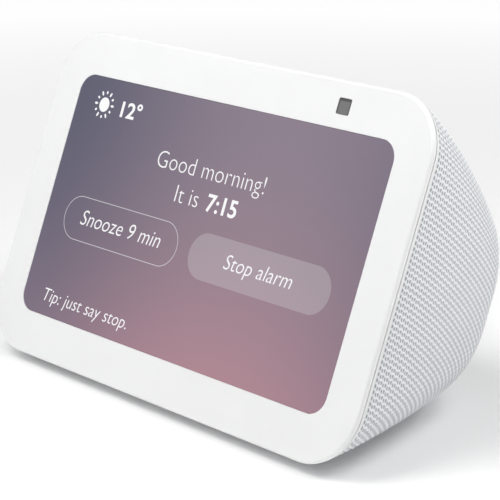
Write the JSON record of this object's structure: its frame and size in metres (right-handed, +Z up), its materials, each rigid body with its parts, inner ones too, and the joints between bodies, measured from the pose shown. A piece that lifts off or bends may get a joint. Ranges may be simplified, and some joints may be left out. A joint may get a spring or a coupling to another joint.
{
  "type": "smart speaker",
  "caption": "Compact smart speaker with a tilted touch screen in a white frame, a fabric-covered wedge body, top buttons, a camera shutter slider and a rear power inlet.",
  "frame": {"origin": "middle of the overall length and depth, at the level the foot stands on", "axes": "+X to the right as seen from the front, +Y towards the back, +Z up; the screen faces -Y and leans back"},
  "size_m": [0.146, 0.0826, 0.0912],
  "materials": {
    "white_front": "satin",
    "cover_glass": "gloss",
    "black_foam": "matt",
    "lcd_panel": "gloss",
    "backlight_tray": "satin",
    "carrier_plate": "brushed",
    "flex_circuit": "satin",
    "camera_window": "gloss",
    "camera_body": "matt",
    "camera_lens": "gloss",
    "black_plastic": "matt",
    "white_blade": "matt",
    "white_controls": "matt",
    "white_rim": "satin",
    "white_deck": "satin",
    "circuit_board": "satin",
    "component_metal": "satin",
    "screw_steel": "satin",
    "chip_resin": "matt",
    "socket_plastic": "matt",
    "heat_spreader": "matt",
    "speaker_basket": "satin",
    "magnet_steel": "satin",
    "ferrite": "matt",
    "coil_copper": "satin",
    "speaker_paper": "matt",
    "surround_rubber": "matt",
    "spider_cloth": "matt",
    "lead_sleeve": "satin",
    "port_panel": "matt",
    "contact_metal": "gloss",
    "power_sleeve": "satin",
    "rear_shell": "matt",
    "knit_fabric": "matt",
    "base_plate": "matt",
    "foot_rubber": "matt"
  },
  "bodies": {
    "housing": {"front_frame": "white_front", "cover_glass": "cover_glass", "display_gasket": "black_foam", "lcd_panel": "lcd_panel", "backlight": "backlight_tray", "display_carrier": "carrier_plate", "display_flex": "flex_circuit", "camera_window": "camera_window", "camera_body": "camera_body", "camera_lens": "camera_lens", "shutter_track": "black_plastic", "mid_frame": "white_rim", "control_deck": "white_deck", "button_board": "circuit_board", "tact_switches": "black_plastic", "microphones": "component_metal", "mic_boots": "black_foam", "button_board_screws": "screw_steel", "main_board": "circuit_board", "processor": "chip_resin", "memory_chips": "chip_resin", "power_coils": "chip_resin", "lead_sockets": "socket_plastic", "board_shield": "component_metal", "heat_spreader": "heat_spreader", "carrier_screws": "screw_steel", "board_screws": "screw_steel", "antenna_left": "flex_circuit", "antenna_right": "flex_circuit", "speaker_basket": "speaker_basket", "speaker_top_plate": "magnet_steel", "speaker_magnet": "ferrite", "speaker_pole": "magnet_steel", "speaker_surround": "surround_rubber", "speaker_spider": "spider_cloth", "speaker_chamber": "black_plastic", "speaker_gasket": "black_foam", "speaker_lead": "lead_sleeve", "port_panel": "port_panel", "dc_jack": "black_plastic", "dc_pin": "contact_metal", "service_port": "component_metal", "port_board": "circuit_board", "power_lead": "power_sleeve", "rear_shell": "rear_shell", "fabric_cover": "knit_fabric", "base_plate": "base_plate", "rubber_foot": "foot_rubber", "base_screws": "screw_steel"},
    "mute_button": {"mute_button": "white_controls"},
    "volume_down_button": {"volume_down_button": "white_controls"},
    "volume_up_button": {"volume_up_button": "white_controls"},
    "shutter": {"shutter_blade": "white_blade", "shutter_knob": "white_controls"},
    "cone_assembly": {"speaker_cone": "speaker_paper", "dust_cap": "speaker_paper", "voice_coil": "coil_copper"}
  },
  "joints": [
    {"name": "mute_button_press", "type": "slide", "parent": "housing", "child": "mute_button", "axis": [0, -0.5991, -0.8007], "range_m": [0, 0.0005], "stiffness_N_per_m": 1200, "springref_m": -0.0003},
    {"name": "volume_down_button_press", "type": "slide", "parent": "housing", "child": "volume_down_button", "axis": [0, -0.5991, -0.8007], "range_m": [0, 0.0005], "stiffness_N_per_m": 1200, "springref_m": -0.0003},
    {"name": "volume_up_button_press", "type": "slide", "parent": "housing", "child": "volume_up_button", "axis": [0, -0.5991, -0.8007], "range_m": [0, 0.0005], "stiffness_N_per_m": 1200, "springref_m": -0.0003},
    {"name": "shutter_slide", "type": "slide", "parent": "housing", "child": "shutter", "axis": [-1, 0, 0], "range_m": [0, 0.0065]},
    {"name": "cone_travel", "type": "slide", "parent": "housing", "child": "cone_assembly", "axis": [0, 0.6781, 0.735], "range_m": [-0.001, 0.001], "stiffness_N_per_m": 1500, "deforming": ["speaker_surround", "speaker_spider"]}
  ]
}
